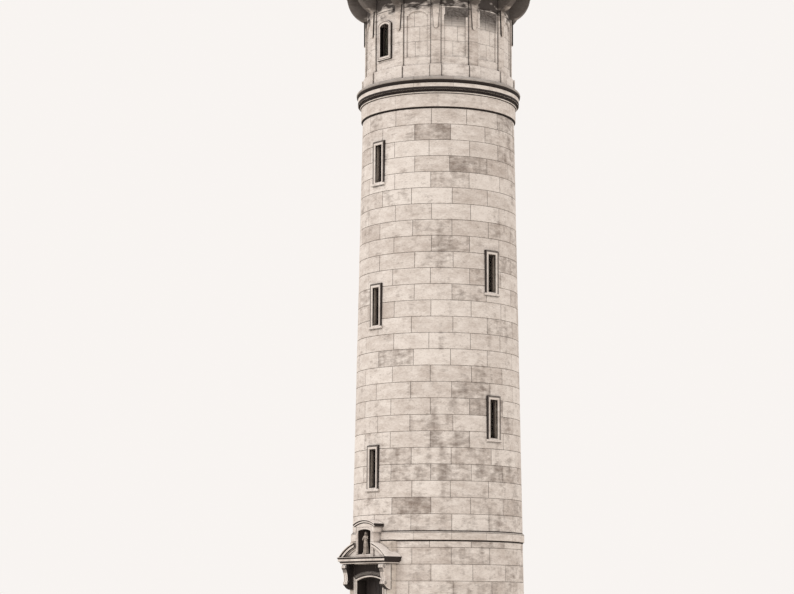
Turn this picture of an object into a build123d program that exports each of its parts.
from build123d import *
from math import asin, cos, degrees, radians, sin, tan
import os

# A tall round lighthouse of dressed limestone, in millimetres.
# The origin is on the tower's axis at ground level, +Z is up and the doorway faces -Y.
# Azimuths are in degrees from the doorway, growing towards +X.

# Heights of the tower's stages
COURSE = 420.0
PLINTH_TOP = 500.0
THRESHOLD = 340.0
BAND_FOOT = 3590.0
BAND_TOP = 3850.0
LOWER_COURSES = 10
SHAFT_COURSES = 26
NECK_HEIGHT = 380.0
CORNICE_HEIGHT = 450.0
DRUM_HEIGHT = 2700.0
GALLERY_THICKNESS = 220.0
LANTERN_WALL_HEIGHT = 1230.0
COPING_HEIGHT = 120.0
LANTERN_GLAZING_HEIGHT = 2000.0

# Radii of the tower
BORE_R = 1350.0
BAND_TOP_R = 2222.0
BATTER = 0.0176
PLINTH_R = 2360.0
PLINTH_CHAMFER = 45.0
NECK_PROUD = 40.0
CORNICE_R = 2200.0
BAND_PROUD = 42.0
BAND_SEAT_R = 2120.0
NECK_SEAT_R = 1720.0
DRUM_R = 1930.0
DRUM_BORE_R = 1500.0
DRUM_FOOT_R = 2020.0
DRUM_FOOT_HEIGHT = 350.0
GALLERY_R = 2600.0
LANTERN_FLOOR_R = 1450.0

# Floors
WATCH_FLOOR_THICKNESS = 250.0
HATCH_WIDTH = 700.0
HATCH_DEPTH = 800.0
HATCH_CENTRE = 700.0

# Stair windows: azimuth of the side, and the course line under the lintel
STAIR_WINDOWS = [
    (0, 5), (0, 15), (0, 24), (90, 8), (90, 17),
    (180, 10), (180, 20), (270, 3), (270, 13), (270, 22),
]
SLIT_WIDTH = 250.0
SLIT_HEIGHT = 990.0
SLIT_DEPTH = 320.0
SPLAY_WIDTH = 600.0
SURROUND_BORDER = 100.0
SURROUND_PROUD = 35.0
SURROUND_BOND = 150.0
SILL_PROUD = 55.0
SILL_HEIGHT = 70.0
SILL_WIDER = 25.0
SASH_SETBACK = 90.0
SASH_THICKNESS = 45.0
SASH_BORDER = 32.0
SASH_BAR = 18.0
GLASS_THICKNESS = 6.0

# Drum panels, pilasters and brackets
DRUM_TURN = 2.0
BAYS = 12
PILASTER_WIDTH = 250.0
PILASTER_PROUD = 42.0
PILASTER_FOOT_WIDTH = 290.0
PILASTER_FOOT_PROUD = 35.0
PANEL_HALF_WIDTH = 290.0
PANEL_DEPTH = 32.0
PANEL_FOOT = 600.0
PANEL_SPRING = 1700.0
PANEL_RISE = 110.0
PANEL_SHOULDER = 60.0
DRUM_WINDOW_WIDTH = 340.0
DRUM_WINDOW_FOOT = 720.0
DRUM_WINDOW_SPRING = 1540.0
DRUM_WINDOW_RISE = 60.0
DRUM_WINDOW_BORDER = 95.0
BRACKET_WIDTH = 230.0
BRACKET_FOOT = 2020.0
BRACKET_INSET = 130.0
BRACKET_BOND = 100.0
BRACKET_LIP = 100.0
BRACKET_BULGE = 70.0
TONGUE_WIDTH = 200.0
TONGUE_TIP_WIDTH = 110.0
TONGUE_PROUD = 40.0
TONGUE_LENGTH = 700.0

# Doorway: heights are given from one part of it to the next
DOOR_WIDTH = 1034.0
DOOR_SPRING = 2610.0
DOOR_RISE = 90.0
BLOCK_HALF_WIDTH = 819.0
BLOCK_FRONT = 2271.0
BLOCK_PLINTH_PROUD = 80.0
BLOCK_PLINTH_WIDER = 60.0
REBATE_FRONT = 1970.0
EMBRASURE_HALF_WIDTH = 600.0
EMBRASURE_HEADROOM = 100.0
ARCHITRAVE_WIDTH = 143.0
ARCHITRAVE_PROUD = 26.0
DOOR_FRIEZE = 330.0
CONSOLE_WIDTH = 159.0
CONSOLE_HEIGHT = 652.0
VOLUTE_R = 58.0
VOLUTE_PROUD = 10.0
DOOR_CORNICE_HEIGHT = 170.0
DOOR_CORNICE_HALF_WIDTH = 953.0
DOOR_CORNICE_FRONT = 2596.0
PEDIMENT_RISE = 410.0
RAKING_THICKNESS = 165.0
RAKING_FRONT = 2560.0
TYMPANUM_FRONT = 2330.0
NICHE_HALF_WIDTH = 353.0
NICHE_SEAT = 2120.0
NICHE_FRONT = 2465.0
NICHE_HEIGHT = 760.0
NICHE_RECESS_R = 259.0
NICHE_SILL = 70.0
NICHE_HEAD = 104.0
NICHE_RECESS_RISE = 44.0
NICHE_BAND_WIDTH = 46.0
NICHE_BAND_PROUD = 12.0
CAP_HALF_WIDTH = 426.0
CAP_FRONT = 2510.0
CAP_EDGE = 80.0
CAP_RISE = 105.0
STATUE_HEIGHT = 570.0
STATUE_SETBACK = 95.0

# Door leaves
LEAF_THICKNESS = 50.0
LEAF_CLEARANCE = 5.0
LEAF_LAP = 48.0
LEAF_HEAD_LAP = 60.0
HINGE_INSET = 10.0
HINGES = 3
HINGE_END = 280.0
LEAF_RAIL = 95.0
LEAF_SPLIT = 0.42
PANEL_SINK = 14.0
PIN_R = 8.0
PIN_CLEARANCE = 0.3
PIN_SEAT_R = 9.0
PIN_SEAT_HEIGHT = 20.0
KNUCKLE_R = 18.0
KNUCKLE_HEIGHT = 60.0
STRAP_LENGTH = 400.0
STRAP_THICKNESS = 6.0

# Steps outside the threshold
STEP_GOING = 300.0
STEP_HALF_WIDTH = 850.0

# Gallery railing
RAIL_INSET = 100.0
RAIL_HEIGHT = 1050.0
POST_SIZE = 50.0
POST_BALL_R = 32.5
RAIL_DEPTH = 40.0
RAIL_THICKNESS = 30.0
RAIL_BARS = 6
BAR_SIZE = 20.0

# Lantern
LANTERN_WALL_OUTER_R = 1450.0
LANTERN_WALL_INNER_R = 1150.0
COPING_OUTER_R = 1520.0
COPING_INNER_R = 1080.0
GALLERY_DOOR_WIDTH = 600.0
GALLERY_DOOR_HEIGHT = 1080.0
GALLERY_DOOR_THICKNESS = 60.0
GALLERY_DOOR_SETBACK = 90.0
LANTERN_SIDES = 10
LANTERN_R = 1250.0
LANTERN_POST = 70.0
LANTERN_BAR = 35.0
PANEL_FIT = 8.0
SASH_INSET = 12.0
ROOF_EDGE_R = 1400.0
ROOF_SHEET = 40.0
ROOF_RISE = 760.0
GUTTER_HEIGHT = 150.0
VENT_NECK_R = 140.0
VENT_NECK_HEIGHT = 130.0
VENT_BALL_R = 200.0
ROD_R = 15.0
ROD_HEIGHT = 930.0

# Heights that follow from the stages
LOWER_TOP = BAND_TOP + LOWER_COURSES * COURSE
SHAFT_TOP = BAND_TOP + SHAFT_COURSES * COURSE
NECK_TOP = SHAFT_TOP + NECK_HEIGHT
DRUM_BASE = NECK_TOP + CORNICE_HEIGHT
DRUM_TOP = DRUM_BASE + DRUM_HEIGHT
GALLERY_TOP = DRUM_TOP + GALLERY_THICKNESS
LANTERN_WALL_TOP = GALLERY_TOP + LANTERN_WALL_HEIGHT
COPING_TOP = LANTERN_WALL_TOP + COPING_HEIGHT
GLAZING_TOP = COPING_TOP + LANTERN_GLAZING_HEIGHT
ROOF_FOOT = GLAZING_TOP + GUTTER_HEIGHT
BALL_TOP = ROOF_FOOT + ROOF_RISE + VENT_NECK_HEIGHT + VENT_BALL_R * 1.8
ROD_TOP = BALL_TOP + ROD_HEIGHT
DOOR_CROWN = DOOR_SPRING + DOOR_RISE
EMBRASURE_HEAD = DOOR_CROWN + EMBRASURE_HEADROOM
DOOR_CORNICE_FOOT = DOOR_CROWN + DOOR_FRIEZE
DOOR_CORNICE_TOP = DOOR_CORNICE_FOOT + DOOR_CORNICE_HEIGHT
CONSOLE_FOOT = DOOR_CORNICE_FOOT - CONSOLE_HEIGHT
PEDIMENT_TOP = DOOR_CORNICE_TOP + PEDIMENT_RISE
NICHE_TOP = DOOR_CORNICE_TOP + NICHE_HEIGHT
NICHE_RECESS_FOOT = DOOR_CORNICE_TOP + NICHE_SILL
NICHE_RECESS_SPRING = NICHE_TOP - NICHE_HEAD
CAP_TIP = NICHE_TOP + CAP_EDGE
CAP_TOP = CAP_TIP + CAP_RISE
RAIL_R = GALLERY_R - RAIL_INSET
SIDES = {"front": 0, "right": 90, "back": 180, "left": 270}


def shaft_radius(height):
    """Outer radius of the battered shaft at a height."""
    return BAND_TOP_R - BATTER * (height - BAND_TOP)


def outline(*points):
    """Closed flat face through points of the XY plane."""
    return make_face(Polyline(*points, close=True))


def turned(points, start=0.0, span=360.0):
    """Solid that an outline of (radius, height) points sweeps from azimuth start over span degrees."""
    face = Plane.XZ * outline(*points)
    return Rot(0, 0, start - 90) * revolve(face, Axis.Z, span)


def block(half_width, back, front, foot, top):
    """Box in front of the axis: distances are measured from the axis towards the doorway."""
    centre = Pos(0, -(back + front) / 2, (foot + top) / 2)
    return centre * Box(2 * half_width, front - back, top - foot)


def upright(face, back, front):
    """Prism of an (X, Z) outline between two distances from the axis towards the doorway."""
    return Plane(origin=(0, -back, 0), x_dir=(1, 0, 0), z_dir=(0, -1, 0)) * extrude(face, front - back)


def across(face, half_width):
    """Prism of a (distance, height) outline to both sides of the doorway's middle plane."""
    side = Plane(origin=(0, 0, 0), x_dir=(0, -1, 0), z_dir=(-1, 0, 0))
    return side * extrude(face, half_width, both=True)


def around(solids, azimuths):
    """One copy of a solid that faces the doorway for each azimuth."""
    return [Rot(0, 0, azimuth) * solids for azimuth in azimuths]


def arched(half_width, foot, spring, rise):
    """(X, Z) outline of an opening with a segmental head."""
    sides = Polyline((half_width, spring), (half_width, foot), (-half_width, foot), (-half_width, spring))
    head = ThreePointArc((-half_width, spring), (0, spring + rise), (half_width, spring))
    return make_face([*sides.edges(), head])


def shaft_cone():
    """Full round of the tower's outside up to the neck, which trims what is seated on the wall."""
    points = [(0, 0), (shaft_radius(0), 0), (shaft_radius(SHAFT_TOP), SHAFT_TOP), (0, SHAFT_TOP)]
    return turned(points)


def slit_cutter(azimuth, course_line):
    """Opening of a stair window: a straight slit outside and a splay towards the bore."""
    head = BAND_TOP + course_line * COURSE
    foot = head - SLIT_HEIGHT
    face = shaft_radius(head)
    slit = block(SLIT_WIDTH / 2, face - SLIT_DEPTH, PLINTH_R, foot, head)
    narrow, wide = SLIT_WIDTH / 2, SPLAY_WIDTH / 2
    outer, inner = face - SLIT_DEPTH, BORE_R * 0.9
    plan = outline((narrow, -outer), (-narrow, -outer), (-wide, -inner), (wide, -inner))
    splay = Pos(0, 0, foot) * extrude(plan, head - foot)
    return Rot(0, 0, azimuth) * (slit + splay)


def shaft_stage(foot, top, side):
    """Quarter of the shaft around a side's azimuth, with its stair windows; the highest backs the neck."""
    points = [(BORE_R, foot), (shaft_radius(foot), foot), (shaft_radius(top), top)]
    if top == SHAFT_TOP:
        points += [(NECK_SEAT_R, top), (NECK_SEAT_R, DRUM_BASE), (BORE_R, DRUM_BASE)]
    else:
        points.append((BORE_R, top))
    wall = turned(points, side - 45, 90)
    for azimuth, course_line in STAIR_WINDOWS:
        if azimuth == side and foot < BAND_TOP + course_line * COURSE <= top:
            wall -= slit_cutter(azimuth, course_line)
    return wall


def niche_pocket():
    """Space that the niche block takes in the wall."""
    return block(NICHE_HALF_WIDTH, NICHE_SEAT, 2 * PLINTH_R, DOOR_CORNICE_TOP, NICHE_TOP)


def niche_break():
    """Space in which the niche and its cap interrupt the string course."""
    space = block(NICHE_HALF_WIDTH, 0, 2 * PLINTH_R, DOOR_CORNICE_TOP, NICHE_TOP)
    return space + block(CAP_HALF_WIDTH, 0, 2 * PLINTH_R, NICHE_TOP, CAP_TOP)


def doorway_zone():
    """Space of the doorway, of the stones around it and of the wall over it."""
    beyond = 2 * PLINTH_R
    zone = block(EMBRASURE_HALF_WIDTH, 0, beyond, 0, BAND_TOP)
    zone += block(BLOCK_HALF_WIDTH, REBATE_FRONT, beyond, PLINTH_TOP, BAND_FOOT)
    return zone + block(BLOCK_HALF_WIDTH + BLOCK_PLINTH_WIDER, REBATE_FRONT, beyond, 0, PLINTH_TOP)


def lower_wall(side):
    """Quarter of the entrance storey's wall with its plinth; the front one stops beside the doorway."""
    chamfer = PLINTH_CHAMFER
    points = [
        (BORE_R, 0), (PLINTH_R, 0), (PLINTH_R, PLINTH_TOP - chamfer), (PLINTH_R - chamfer, PLINTH_TOP),
        (shaft_radius(PLINTH_TOP), PLINTH_TOP), (shaft_radius(BAND_FOOT), BAND_FOOT),
        (BAND_SEAT_R, BAND_FOOT), (BAND_SEAT_R, BAND_TOP), (BORE_R, BAND_TOP),
    ]
    wall = turned(points, side - 45, 90)
    return wall - doorway_zone() if side == SIDES["front"] else wall


def door_lintel():
    """Wall over the embrasure of the doorway, which backs the string course."""
    points = [
        (BORE_R, EMBRASURE_HEAD), (PLINTH_R, EMBRASURE_HEAD), (PLINTH_R, BAND_FOOT),
        (BAND_SEAT_R, BAND_FOOT), (BAND_SEAT_R, BAND_TOP), (BORE_R, BAND_TOP),
    ]
    zone = block(EMBRASURE_HALF_WIDTH, 0, REBATE_FRONT, EMBRASURE_HEAD, BAND_FOOT)
    zone += block(EMBRASURE_HALF_WIDTH, 0, 2 * PLINTH_R, BAND_FOOT, BAND_TOP)
    return turned(points) & zone


def threshold():
    """Slab under the doorway, as deep as the wall."""
    beyond = 2 * PLINTH_R
    ring = turned([(BORE_R, 0), (beyond, 0), (beyond, THRESHOLD), (BORE_R, THRESHOLD)])
    slab = block(EMBRASURE_HALF_WIDTH, 0, REBATE_FRONT, 0, THRESHOLD)
    slab += block(DOOR_WIDTH / 2, REBATE_FRONT, BLOCK_FRONT + BLOCK_PLINTH_PROUD, 0, THRESHOLD)
    return ring & slab


def door_plinths():
    """Blocks under the doorway's jambs."""
    inner, outer = DOOR_WIDTH / 2, BLOCK_HALF_WIDTH + BLOCK_PLINTH_WIDER
    foot = block((outer - inner) / 2, REBATE_FRONT, BLOCK_FRONT + BLOCK_PLINTH_PROUD, 0, PLINTH_TOP)
    return [Pos(side * (inner + outer) / 2, 0, 0) * foot for side in (-1, 1)]


def door_jambs():
    """Flat faced jambs of the doorway."""
    width = BLOCK_HALF_WIDTH - DOOR_WIDTH / 2
    middle = (BLOCK_HALF_WIDTH + DOOR_WIDTH / 2) / 2
    jamb = block(width / 2, REBATE_FRONT, BLOCK_FRONT, PLINTH_TOP, DOOR_SPRING)
    return [Pos(side * middle, 0, 0) * jamb for side in (-1, 1)]


def door_head():
    """Arched block over the doorway, with the niche's pocket."""
    head = block(BLOCK_HALF_WIDTH, REBATE_FRONT, BLOCK_FRONT, DOOR_SPRING, BAND_FOOT)
    opening = arched(DOOR_WIDTH / 2, 0, DOOR_SPRING, DOOR_RISE)
    return head - upright(opening, 0, 2 * PLINTH_R) - niche_pocket()


def door_architrave():
    """Moulded border of the doorway's opening, in two steps."""
    result = None
    for share, proud in ((1.0, ARCHITRAVE_PROUD * 0.6), (0.55, ARCHITRAVE_PROUD)):
        border = ARCHITRAVE_WIDTH * share
        outer = arched(DOOR_WIDTH / 2 + border, THRESHOLD, DOOR_SPRING, DOOR_RISE + border)
        band = upright(outer, BLOCK_FRONT, BLOCK_FRONT + proud)
        result = band if result is None else result + band
    opening = arched(DOOR_WIDTH / 2, 0, DOOR_SPRING, DOOR_RISE)
    result -= upright(opening, 0, 2 * PLINTH_R)
    return result - block(BLOCK_HALF_WIDTH, 0, 2 * PLINTH_R, 0, PLINTH_TOP)


def volutes():
    """Centres of a console's upper and lower rolls, as (distance, height)."""
    reach = DOOR_CORNICE_FRONT - BLOCK_FRONT
    upper = (BLOCK_FRONT + reach * 0.64, DOOR_CORNICE_FOOT - VOLUTE_R * 1.35)
    lower = (BLOCK_FRONT + reach * 0.43, CONSOLE_FOOT + CONSOLE_HEIGHT * 0.25)
    return upper, lower


def door_consoles():
    """Pair of S-shaped scroll brackets under the doorway's cornice, with a roll at both ends."""
    (high_y, high_z), (low_y, low_z) = volutes()
    front, foot, top = BLOCK_FRONT, CONSOLE_FOOT, DOOR_CORNICE_FOOT
    high_r, low_r = VOLUTE_R * 1.35, VOLUTE_R * 1.25
    start, tip = (high_y, top), (front + VOLUTE_PROUD, foot)
    under = (high_y + high_r * sin(radians(30)), high_z - high_r * cos(radians(30)))
    over = (low_y + low_r * 0.3, low_z + low_r)
    waist = (low_y + low_r * 0.1, (high_z - high_r + low_z + low_r) / 2)
    tail = (low_y + low_r * 0.2, low_z - low_r)
    edges = [
        *Polyline(tip, (front, foot), (front, top), start).edges(),
        ThreePointArc(start, (high_y + high_r, high_z), under),
        ThreePointArc(under, waist, over),
        ThreePointArc(over, (low_y + low_r, low_z), tail),
        ThreePointArc(tail, (low_y - low_r * 0.7, low_z - low_r * 1.3), tip),
    ]
    console = across(make_face(edges), CONSOLE_WIDTH / 2)
    for distance, height in volutes():
        roll = Pos(distance, height) * Circle(VOLUTE_R)
        console += across(roll, CONSOLE_WIDTH / 2 + VOLUTE_PROUD)
    middle = BLOCK_HALF_WIDTH - CONSOLE_WIDTH / 2
    return [Pos(x, 0, 0) * console for x in (-middle, middle)]


def backing():
    """The round wall with the doorway's flat block, which the mouldings over the doorway sit against."""
    return shaft_cone() + block(BLOCK_HALF_WIDTH, 0, BLOCK_FRONT, PLINTH_TOP, BAND_FOOT)


def mitred(half_width, front, back, profile):
    """Moulding with returned sides: profile holds (inset, height) points from foot to top."""
    foot, top = profile[0][1], profile[-1][1]
    side = [(front - inset, height) for inset, height in profile] + [(back, top), (back, foot)]
    ends = [(half_width - inset, height) for inset, height in profile]
    ends += [(-x, height) for x, height in reversed(ends)]
    return across(outline(*side), half_width) & upright(outline(*ends), 0, 2 * front)


def door_cornice():
    """Horizontal cornice over the consoles: bed moulding, corona and a splayed top moulding."""
    steps = [
        (64, 0), (64, 0.14), (50, 0.22), (50, 0.34), (18, 0.38), (18, 0.7), (11, 0.74), (11, 0.79),
        (0, 0.94), (0, 1),
    ]
    profile = [(inset, DOOR_CORNICE_FOOT + share * DOOR_CORNICE_HEIGHT) for inset, share in steps]
    body = mitred(DOOR_CORNICE_HALF_WIDTH, DOOR_CORNICE_FRONT, BORE_R, profile)
    return body - backing()


def broken_pediment():
    """Segmental pediment with its tympanum, broken in the middle by the niche."""
    half, rise = DOOR_CORNICE_HALF_WIDTH, PEDIMENT_TOP - DOOR_CORNICE_TOP
    radius = (half * half + rise * rise) / (2 * rise)
    centre = PEDIMENT_TOP - radius
    above = Pos(0, DOOR_CORNICE_TOP + PEDIMENT_TOP) * Rectangle(4 * half, 2 * PEDIMENT_TOP)
    outer = (Pos(0, centre) * Circle(radius)) & above
    inner = (Pos(0, centre) * Circle(radius - RAKING_THICKNESS)) & above
    raking = None
    for share, setback in ((1.0, 75), (0.72, 30), (0.3, 0)):
        under = Pos(0, centre) * Circle(radius - RAKING_THICKNESS * share)
        layer = upright(outer - under, REBATE_FRONT, RAKING_FRONT - setback)
        raking = layer if raking is None else raking + layer
    tympanum = upright(inner, REBATE_FRONT, TYMPANUM_FRONT)
    gap = block(NICHE_HALF_WIDTH, 0, 2 * PLINTH_R, DOOR_CORNICE_FOOT, CAP_TOP)
    whole = raking + tympanum - gap - backing() - string_ring()
    return whole.solids()


def niche():
    """Block over the doorway with a round-backed, arched recess in a raised border."""
    front, wide = NICHE_FRONT + NICHE_BAND_PROUD, NICHE_RECESS_R + NICHE_BAND_WIDTH
    border = arched(wide, NICHE_RECESS_FOOT, NICHE_RECESS_SPRING, NICHE_RECESS_RISE + NICHE_BAND_WIDTH)
    body = block(NICHE_HALF_WIDTH, NICHE_SEAT, NICHE_FRONT, DOOR_CORNICE_TOP, NICHE_TOP)
    body += upright(border, NICHE_FRONT, front)
    head = arched(NICHE_RECESS_R, NICHE_RECESS_FOOT, NICHE_RECESS_SPRING, NICHE_RECESS_RISE)
    height = NICHE_TOP - NICHE_RECESS_FOOT
    well = Pos(0, -front, NICHE_RECESS_FOOT + height / 2) * Cylinder(NICHE_RECESS_R, height)
    return body - (well & upright(head, 0, 2 * front))


def niche_cap():
    """Segmental hood that covers the niche."""
    half, rise = CAP_HALF_WIDTH, CAP_TOP - CAP_TIP
    edges = [
        *Polyline((half, CAP_TIP), (half, NICHE_TOP), (-half, NICHE_TOP), (-half, CAP_TIP)).edges(),
        ThreePointArc((-half, CAP_TIP), (0, CAP_TIP + rise), (half, CAP_TIP)),
    ]
    return upright(make_face(edges), REBATE_FRONT, CAP_FRONT) - shaft_cone()


def statue():
    """Slender draped standing figure on a low base, with a plain head."""
    height = STATUE_HEIGHT
    levels = [
        (0.0, 78, 62), (0.07, 78, 62), (0.07, 72, 55), (0.30, 66, 48), (0.52, 70, 52), (0.66, 74, 50),
        (0.78, 82, 50), (0.835, 60, 42), (0.86, 24, 24),
    ]
    slices = [Pos(0, 0, share * height) * Ellipse(half, deep) for share, half, deep in levels]
    body = loft(slices[:2], ruled=True) + loft(slices[2:])
    body += Pos(0, 0, 0.925 * height) * scale(Sphere(0.075 * height), (0.72, 0.85, 1.0))
    body += Pos(0, 0, 0.86 * height) * Cylinder(20, 0.06 * height)
    return Pos(0, -(NICHE_FRONT - STATUE_SETBACK), NICHE_RECESS_FOOT) * body


def string_ring():
    """Full ring of the string course."""
    face = BAND_TOP_R + BAND_PROUD
    points = [
        (BAND_SEAT_R, BAND_FOOT), (face - 20, BAND_FOOT), (face, BAND_FOOT + 45),
        (face, BAND_TOP - 40), (face - 30, BAND_TOP), (BAND_SEAT_R, BAND_TOP),
    ]
    return turned(points)


def neck_frieze():
    """Smooth frieze under the cornice, a little proud of the shaft."""
    face = shaft_radius(SHAFT_TOP) + NECK_PROUD
    points = [(NECK_SEAT_R, SHAFT_TOP), (face, SHAFT_TOP), (face, NECK_TOP), (NECK_SEAT_R, NECK_TOP)]
    return turned(points)


def cornice():
    """Moulded cornice ring under the drum."""
    foot, top, lip = NECK_TOP, DRUM_BASE, CORNICE_R
    neck = shaft_radius(SHAFT_TOP) + NECK_PROUD
    points = [
        (NECK_SEAT_R, foot), (neck + 20, foot), (neck + 30, foot + 25), (neck + 5, foot + 60),
        (neck + 25, foot + 120), (lip - 40, foot + 125), (lip - 40, foot + 280), (lip - 70, foot + 300),
        (lip - 10, foot + 325), (lip, foot + 345), (lip, foot + 425), (lip - 25, top), (NECK_SEAT_R, top),
    ]
    return turned(points)


def drum_ring_points():
    """Outline of the drum's wall with its base course."""
    foot = DRUM_BASE + DRUM_FOOT_HEIGHT
    return [
        (DRUM_BORE_R, DRUM_BASE), (DRUM_FOOT_R, DRUM_BASE), (DRUM_FOOT_R, foot - 15),
        (DRUM_FOOT_R - 20, foot), (DRUM_R, foot), (DRUM_R, DRUM_TOP), (DRUM_BORE_R, DRUM_TOP),
    ]


def panel_cutter():
    """Blind panel with a segmental head and square shoulders, sunk into the drum."""
    half, spring = PANEL_HALF_WIDTH, DRUM_BASE + PANEL_SPRING
    inner = half - PANEL_SHOULDER
    body = Polyline((inner, spring), (half, spring), (half, DRUM_BASE + PANEL_FOOT),
                    (-half, DRUM_BASE + PANEL_FOOT), (-half, spring), (-inner, spring))
    shoulder = spring + PANEL_SHOULDER * 0.8
    ears = [Line((-inner, spring), (-inner, shoulder)), Line((inner, spring), (inner, shoulder))]
    head = ThreePointArc((-inner, shoulder), (0, spring + PANEL_RISE), (inner, shoulder))
    prism = upright(make_face([*body.edges(), *ears, head]), DRUM_BORE_R, 2 * DRUM_R)
    core = Pos(0, 0, DRUM_BASE + DRUM_HEIGHT / 2) * Cylinder(DRUM_R - PANEL_DEPTH, DRUM_HEIGHT)
    return prism - core


def drum_window_outline(border=0.0):
    """(X, Z) outline of a watch room window, grown by a border."""
    half = DRUM_WINDOW_WIDTH / 2 + border
    foot = DRUM_BASE + DRUM_WINDOW_FOOT - border
    return arched(half, foot, DRUM_BASE + DRUM_WINDOW_SPRING, DRUM_WINDOW_RISE + border)


def drum_wall(side):
    """Quarter of the drum's wall around one side's azimuth: a bay in its middle and one to each side."""
    wall = turned(drum_ring_points(), side - 45, 90)
    window, bay = upright(drum_window_outline(), 0, 2 * DRUM_R), 360 / BAYS
    middle = window if side in (SIDES["front"], SIDES["back"]) else panel_cutter()
    for shift, cutter in ((-bay, panel_cutter()), (0, middle), (bay, panel_cutter())):
        wall -= Rot(0, 0, side + shift + DRUM_TURN) * cutter
    return wall


def pilasters():
    """Flat strips between the panels, each on its own foot."""
    foot = DRUM_BASE + DRUM_FOOT_HEIGHT
    shaft = block(PILASTER_WIDTH / 2, DRUM_BORE_R, DRUM_R + PILASTER_PROUD, foot, DRUM_BASE + BRACKET_FOOT)
    base = block(PILASTER_FOOT_WIDTH / 2, DRUM_BORE_R, DRUM_FOOT_R + PILASTER_FOOT_PROUD, DRUM_BASE, foot)
    strip = shaft + base - turned(drum_ring_points()) - turned(cylinder_points(DRUM_R - PANEL_DEPTH))
    return around(strip, bay_azimuths())


def cylinder_points(radius):
    """Outline of a full round inside the drum."""
    return [(0, DRUM_BASE), (radius, DRUM_BASE), (radius, DRUM_TOP), (0, DRUM_TOP)]


def bay_azimuths():
    """Azimuths of the pilasters, half a bay to each side of the windows."""
    bay = 360 / BAYS
    return [DRUM_TURN + bay * (index + 0.5) for index in range(BAYS)]


def gallery_brackets():
    """Stone brackets under the gallery, each with a tongue that hangs on its pilaster."""
    face, foot, top = DRUM_R + PILASTER_PROUD, DRUM_BASE + BRACKET_FOOT, DRUM_TOP
    reach, root, inside = GALLERY_R - BRACKET_INSET, face + TONGUE_PROUD, DRUM_R - BRACKET_BOND
    lip = top - BRACKET_LIP
    bulge = ((root + reach) / 2 + BRACKET_BULGE, (foot + lip) / 2 - BRACKET_BULGE)
    back = Polyline((root, foot), (inside, foot), (inside, top), (reach, top), (reach, lip))
    edges = [*back.edges(), ThreePointArc((reach, lip), bulge, (root, foot))]
    body = across(make_face(edges), BRACKET_WIDTH / 2) - turned(cylinder_points(DRUM_R))
    tip = TONGUE_TIP_WIDTH / 2
    low = foot - TONGUE_LENGTH
    wide = TONGUE_WIDTH / 2
    sides = Polyline((tip, low + tip), (wide, foot), (-wide, foot), (-tip, low + tip))
    end = ThreePointArc((-tip, low + tip), (0, low), (tip, low + tip))
    tongue = upright(make_face([*sides.edges(), end]), face, face + TONGUE_PROUD)
    return around(body + tongue, bay_azimuths())


def slit_frame(azimuth, course_line):
    """Stone surround of a stair window, with a sill that stands a little further out."""
    head = BAND_TOP + course_line * COURSE
    foot = head - SLIT_HEIGHT
    face = shaft_radius((head + foot) / 2)
    half, border, back = SLIT_WIDTH / 2, SURROUND_BORDER, face - SURROUND_BOND
    low = foot - border
    body = block(half + border, back, face + SURROUND_PROUD, low, head + border)
    body += block(half + border + SILL_WIDER, back, face + SILL_PROUD, low, low + SILL_HEIGHT)
    body -= block(half, 0, PLINTH_R, foot, head)
    return Rot(0, 0, azimuth) * (body - shaft_cone())


def drum_window_frame(azimuth):
    """Moulded surround of a watch room window."""
    border = DRUM_WINDOW_BORDER
    body = upright(drum_window_outline(border), DRUM_R - 100, DRUM_R + PILASTER_PROUD)
    body -= upright(drum_window_outline(), 0, 2 * DRUM_R)
    return Rot(0, 0, azimuth) * (body - turned(cylinder_points(DRUM_R)))


def window_places():
    """Face distance, half width, foot, head and azimuth of every glazed opening."""
    places = []
    for azimuth, course_line in STAIR_WINDOWS:
        head = BAND_TOP + course_line * COURSE
        front = shaft_radius(head) - SASH_SETBACK
        places.append((front, SLIT_WIDTH / 2, head - SLIT_HEIGHT, head, azimuth))
    for azimuth in (0, 180):
        foot, head = DRUM_BASE + DRUM_WINDOW_FOOT, DRUM_BASE + DRUM_WINDOW_SPRING
        places.append((DRUM_R - SASH_SETBACK, DRUM_WINDOW_WIDTH / 2, foot, head, azimuth + DRUM_TURN))
    return places


def window_sashes():
    """Frames of the windows, set back in their openings; the drum's are arched."""
    sashes = []
    for front, half, foot, head, azimuth in window_places():
        rise = DRUM_WINDOW_RISE if head > DRUM_BASE else 0.0
        sash = pane_shape(half, foot, head, rise, front - SASH_THICKNESS, front)
        light = pane_shape(half - SASH_BORDER, foot + SASH_BORDER, head - SASH_BORDER, rise, 0, PLINTH_R)
        sashes.append(Rot(0, 0, azimuth) * (sash - light + (sash & light & sash_bar())))
    return sashes


def sash_bar():
    """Upright bar in the middle of every window's frame."""
    return block(SASH_BAR / 2, 0, PLINTH_R, 0, DRUM_TOP)


def window_glass():
    """Pane on each side of the bar in each window frame."""
    panes = []
    for front, half, foot, head, azimuth in window_places():
        rise = DRUM_WINDOW_RISE if head > DRUM_BASE else 0.0
        middle = front - SASH_THICKNESS / 2
        pane = pane_shape(half - SASH_BORDER, foot + SASH_BORDER, head - SASH_BORDER, rise,
                          middle - GLASS_THICKNESS / 2, middle + GLASS_THICKNESS / 2)
        panes.append(Rot(0, 0, azimuth) * (pane - sash_bar()))
    return panes


def pane_shape(half, foot, head, rise, back, front):
    """Upright plate with a square or a segmental head."""
    if rise:
        return upright(arched(half, foot, head, rise), back, front)
    return block(half, back, front, foot, head)


def hatched_floor(radius, foot, top):
    """Round floor slab with the stair's hatch."""
    slab = turned([(0, foot), (radius, foot), (radius, top), (0, top)])
    return slab - Pos(-HATCH_CENTRE, 0, foot) * Box(HATCH_WIDTH, HATCH_DEPTH, 4 * (top - foot))


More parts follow.
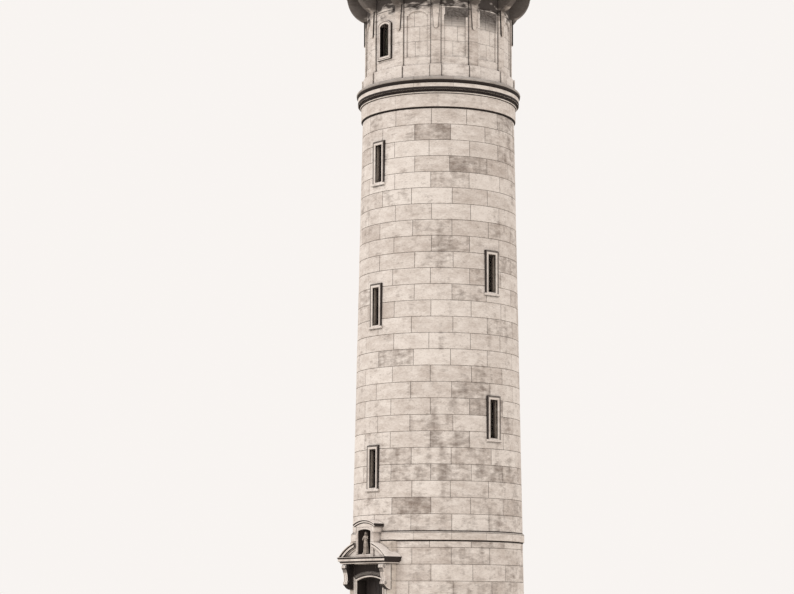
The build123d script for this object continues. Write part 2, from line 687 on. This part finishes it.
def gallery_slab():
    """Ring of the gallery's floor with a moulded edge."""
    foot, top, edge = DRUM_TOP, GALLERY_TOP, GALLERY_R
    points = [
        (LANTERN_FLOOR_R, foot), (edge - 120, foot), (edge - 110, foot + 50), (edge - 40, foot + 90),
        (edge, foot + 120), (edge, top - 25), (edge - 15, top), (LANTERN_FLOOR_R, top),
    ]
    return turned(points)


def railing_posts():
    """Posts of the gallery railing over the brackets."""
    half = POST_SIZE / 2
    post = block(half, RAIL_R - half, RAIL_R + half, GALLERY_TOP, GALLERY_TOP + RAIL_HEIGHT)
    post += Pos(0, -RAIL_R, GALLERY_TOP + RAIL_HEIGHT) * Sphere(POST_BALL_R)
    return around(post, bay_azimuths())


def railing_panels():
    """Panel of rails and upright bars in each bay of the railing."""
    depth = RAIL_DEPTH / 2
    clear = degrees(asin(POST_SIZE / 2 / (RAIL_R - depth)))
    bay = 360 / BAYS
    span = bay - 2 * clear
    levels = [GALLERY_TOP + 100, GALLERY_TOP + RAIL_HEIGHT * 0.55, GALLERY_TOP + RAIL_HEIGHT - 20]
    rails = None
    for level in levels:
        low, high = level - RAIL_THICKNESS / 2, level + RAIL_THICKNESS / 2
        inner, outer = RAIL_R - depth, RAIL_R + depth
        rail = turned([(inner, low), (outer, low), (outer, high), (inner, high)], -span / 2, span)
        rails = rail if rails is None else rails + rail
    half = BAR_SIZE / 2
    bar = block(half, RAIL_R - half, RAIL_R + half, levels[0], levels[-1])
    pitch = bay / (RAIL_BARS + 1)
    for index in range(RAIL_BARS):
        rails += Rot(0, 0, (index - (RAIL_BARS - 1) / 2) * pitch) * bar
    return around(rails, [azimuth + bay / 2 for azimuth in bay_azimuths()])


def lantern_wall():
    """Low round wall of the lantern, with the gallery doorway at the back."""
    points = [(LANTERN_WALL_INNER_R, GALLERY_TOP), (LANTERN_WALL_OUTER_R, GALLERY_TOP),
              (LANTERN_WALL_OUTER_R, LANTERN_WALL_TOP), (LANTERN_WALL_INNER_R, LANTERN_WALL_TOP)]
    return turned(points) - gallery_doorway()


def gallery_doorway():
    """Opening of the gallery door at the back of the lantern's wall."""
    return Rot(0, 0, 180) * block(
        GALLERY_DOOR_WIDTH / 2, 0, 2 * GALLERY_R, GALLERY_TOP, GALLERY_TOP + GALLERY_DOOR_HEIGHT)


def gallery_door():
    """Low iron door that closes the gallery doorway."""
    back = LANTERN_WALL_OUTER_R - GALLERY_DOOR_SETBACK - GALLERY_DOOR_THICKNESS
    leaf = block(GALLERY_DOOR_WIDTH / 2, back, back + GALLERY_DOOR_THICKNESS,
                 GALLERY_TOP, GALLERY_TOP + GALLERY_DOOR_HEIGHT)
    return Rot(0, 0, 180) * leaf


def coping():
    """Stone ring on the lantern's wall."""
    points = [
        (COPING_INNER_R, LANTERN_WALL_TOP), (COPING_OUTER_R, LANTERN_WALL_TOP),
        (COPING_OUTER_R, COPING_TOP - 30), (COPING_OUTER_R - 40, COPING_TOP), (COPING_INNER_R, COPING_TOP),
    ]
    return turned(points)


def lantern_azimuths(shift):
    """Azimuths of the lantern's sides, or of its corners with a shift of half a side."""
    side = 360 / LANTERN_SIDES
    return [side * (index + shift) for index in range(LANTERN_SIDES)]


def lantern_posts():
    """Upright bars at the lantern's corners."""
    half = LANTERN_POST / 2
    post = block(half, LANTERN_R - LANTERN_POST, LANTERN_R, COPING_TOP, GLAZING_TOP)
    return around(post, lantern_azimuths(0.5))


def side_half_width(distance):
    """Half width that a glazed side leaves between two corner posts."""
    half_angle = radians(180 / LANTERN_SIDES)
    return distance * tan(half_angle) - LANTERN_POST / 2 / cos(half_angle) - PANEL_FIT


def lantern_sashes():
    """Framed panel with two cross bars on each side of the lantern."""
    front = LANTERN_R * cos(radians(180 / LANTERN_SIDES)) - SASH_INSET
    half = side_half_width(front - LANTERN_BAR)
    panel = block(half, front - LANTERN_BAR, front, COPING_TOP, GLAZING_TOP)
    rows = 3
    pitch = (GLAZING_TOP - COPING_TOP - LANTERN_BAR) / rows
    for row in range(rows):
        foot = COPING_TOP + LANTERN_BAR + row * pitch
        panel -= block(half - LANTERN_BAR, 0, 2 * LANTERN_R, foot, foot + pitch - LANTERN_BAR)
    return around(panel, lantern_azimuths(0))


def lantern_glass():
    """Sheet of glass behind the bars of each side."""
    front = LANTERN_R * cos(radians(180 / LANTERN_SIDES)) - SASH_INSET - LANTERN_BAR
    half = side_half_width(front - GLASS_THICKNESS)
    pane = block(half, front - GLASS_THICKNESS, front, COPING_TOP, GLAZING_TOP)
    return around(pane, lantern_azimuths(0))


def lantern_roof():
    """Domed metal roof with its gutter, hollow inside."""
    edge, neck, sheet = ROOF_EDGE_R, VENT_NECK_R, ROOF_SHEET
    top = ROOF_FOOT + ROOF_RISE
    crown = (edge * 0.68, ROOF_FOOT + ROOF_RISE * 0.66)
    inside = (edge * 0.68 - sheet * 0.5, ROOF_FOOT + ROOF_RISE * 0.66 - sheet * 0.9)
    edges = [
        *Polyline((neck, top), (neck, top - sheet)).edges(),
        ThreePointArc((neck, top - sheet), inside, (edge - 90, ROOF_FOOT)),
        *Polyline((edge - 90, ROOF_FOOT), (LANTERN_R - LANTERN_POST - 100, ROOF_FOOT),
                  (LANTERN_R - LANTERN_POST - 100, GLAZING_TOP), (edge - 60, GLAZING_TOP),
                  (edge, GLAZING_TOP + 60), (edge, ROOF_FOOT)).edges(),
        ThreePointArc((edge, ROOF_FOOT), crown, (neck, top)),
    ]
    return revolve(Plane.XZ * make_face(edges), Axis.Z)


def ventilator():
    """Ball ventilator on the neck of the dome."""
    top = ROOF_FOOT + ROOF_RISE
    foot = top - ROOF_SHEET
    neck_top = top + VENT_NECK_HEIGHT
    neck = Pos(0, 0, (foot + neck_top) / 2) * Cylinder(VENT_NECK_R, neck_top - foot)
    return neck + Pos(0, 0, neck_top + VENT_BALL_R * 0.8) * Sphere(VENT_BALL_R)


def lightning_rod():
    """Pointed rod on the ventilator."""
    straight = ROD_TOP - 8 * ROD_R
    rod = Pos(0, 0, (BALL_TOP + straight) / 2) * Cylinder(ROD_R, straight - BALL_TOP)
    tip = Pos(0, 0, (straight + ROD_TOP) / 2) * Cone(ROD_R, 2, ROD_TOP - straight)
    return rod + tip


def entrance_steps():
    """Two stone steps up to the threshold."""
    back = BLOCK_FRONT + BLOCK_PLINTH_PROUD
    riser = THRESHOLD / 2
    lower = block(STEP_HALF_WIDTH + STEP_GOING / 2, back, back + 2 * STEP_GOING, 0, riser)
    return lower + block(STEP_HALF_WIDTH, back, back + STEP_GOING, riser, THRESHOLD)


def hinge_levels():
    """Heights of the undersides of the hinge knuckles."""
    low, high = THRESHOLD + HINGE_END, EMBRASURE_HEAD - HINGE_END
    return [low + (high - low) * index / (HINGES - 1) for index in range(HINGES)]


def hinge_place():
    """Distance of the hinge axes from the middle of the doorway, and from the tower's axis."""
    aside = DOOR_WIDTH / 2 + LEAF_LAP + HINGE_INSET
    forward = REBATE_FRONT - LEAF_CLEARANCE - LEAF_THICKNESS - HINGE_INSET
    return aside, forward


def upright_round(radius, foot, height):
    """Round bar on the right leaf's hinge axis."""
    aside, forward = hinge_place()
    return Pos(aside, -forward, foot + height / 2) * Cylinder(radius, height)


def door_pintles():
    """Iron pins built into the sides of the embrasure, which carry the door leaves."""
    aside, forward = hinge_place()
    half = PIN_SEAT_R - 1
    pins = []
    for level in hinge_levels():
        foot = level - PIN_SEAT_HEIGHT - PIN_CLEARANCE
        seat = upright_round(PIN_SEAT_R, foot, PIN_SEAT_HEIGHT)
        pin = upright_round(PIN_R, foot, PIN_SEAT_HEIGHT + KNUCKLE_HEIGHT)
        length = EMBRASURE_HALF_WIDTH - aside
        arm = block(length / 2, forward - half, forward + half, foot, foot + PIN_SEAT_HEIGHT)
        pintle = seat + pin + Pos(aside + length / 2, 0, 0) * arm
        pins += [pintle, mirror(pintle, Plane.YZ)]
    return pins


def door_leaf(side):
    """Framed and panelled leaf with its strap hinges, hung at the side of the embrasure."""
    outer, inner = DOOR_WIDTH / 2 + LEAF_LAP, LEAF_CLEARANCE
    foot, top = THRESHOLD + LEAF_CLEARANCE, EMBRASURE_HEAD - LEAF_HEAD_LAP / 2
    front = REBATE_FRONT - LEAF_CLEARANCE
    back = front - LEAF_THICKNESS
    half = (outer - inner) / 2
    leaf = block(half, back, front, foot, top)
    split = foot + (top - foot) * LEAF_SPLIT
    for low, high in ((foot + 1.6 * LEAF_RAIL, split), (split + LEAF_RAIL, top - LEAF_RAIL)):
        leaf -= block(half - LEAF_RAIL, front - PANEL_SINK, 2 * front, low, high)
    leaf = Pos((outer + inner) / 2, 0, 0) * leaf
    for level in hinge_levels():
        strap = block(STRAP_LENGTH / 2, back - STRAP_THICKNESS, back, level, level + KNUCKLE_HEIGHT)
        leaf += Pos(outer - STRAP_LENGTH / 2, 0, 0) * strap
        leaf += upright_round(KNUCKLE_R, level, KNUCKLE_HEIGHT)
    for level in hinge_levels():
        leaf -= upright_round(PIN_R + PIN_CLEARANCE, level - 1, KNUCKLE_HEIGHT + 2)
        leaf -= upright_round(KNUCKLE_R, level - 2 * PIN_SEAT_HEIGHT, 2 * PIN_SEAT_HEIGHT)
    return leaf if side > 0 else mirror(leaf, Plane.YZ)


def write(name, solids):
    """Write one node of the lighthouse as a STEP file."""
    parts = solids if isinstance(solids, list) else [solids]
    loose = [solid for part in parts for solid in part.solids()]
    export_step(loose[0] if len(loose) == 1 else Compound(children=loose), f"parts/{name}.step")


def main():
    """Build every node of the lighthouse."""
    os.makedirs("parts", exist_ok=True)
    write("ground_floor", turned([(0, 0), (BORE_R, 0), (BORE_R, THRESHOLD), (0, THRESHOLD)]))
    write("entrance_steps", entrance_steps())
    for name, side in SIDES.items():
        write(f"lower_wall_{name}", lower_wall(side))
        low = shaft_stage(BAND_TOP, LOWER_TOP, side)
        write(f"shaft_lower_{name}", low - niche_pocket() if side == SIDES["front"] else low)
        write(f"shaft_upper_{name}", shaft_stage(LOWER_TOP, SHAFT_TOP, side))
        write(f"drum_wall_{name}", drum_wall(side))
    write("threshold", threshold())
    write("door_plinths", door_plinths())
    write("door_lintel", door_lintel())
    write("door_jambs", door_jambs())
    write("door_head", door_head())
    write("door_architrave", door_architrave())
    write("door_consoles", door_consoles())
    write("door_cornice", door_cornice())
    write("broken_pediment", broken_pediment())
    write("niche", niche())
    write("niche_cap", niche_cap())
    write("statue", statue())
    write("string_course", string_ring() - niche_break())
    write("neck_frieze", neck_frieze())
    write("cornice", cornice())
    write("pilasters", pilasters())
    write("gallery_brackets", gallery_brackets())
    write("window_surrounds", [slit_frame(*window) for window in STAIR_WINDOWS])
    write("drum_window_surrounds", [drum_window_frame(azimuth + DRUM_TURN) for azimuth in (0, 180)])
    write("window_sashes", window_sashes())
    write("window_glass", window_glass())
    write("watch_room_floor", hatched_floor(BORE_R, DRUM_BASE - WATCH_FLOOR_THICKNESS, DRUM_BASE))
    write("lantern_floor", hatched_floor(LANTERN_FLOOR_R, DRUM_TOP, GALLERY_TOP))
    write("gallery_slab", gallery_slab())
    write("railing_posts", railing_posts())
    write("railing_panels", railing_panels())
    write("lantern_wall", lantern_wall())
    write("gallery_door", gallery_door())
    write("lantern_coping", coping())
    write("lantern_posts", lantern_posts())
    write("lantern_sashes", lantern_sashes())
    write("lantern_glass", lantern_glass())
    write("lantern_roof", lantern_roof())
    write("ventilator", ventilator())
    write("lightning_rod", lightning_rod())
    write("door_pintles", door_pintles())
    write("door_leaf_left", door_leaf(-1))
    write("door_leaf_right", door_leaf(1))


main()
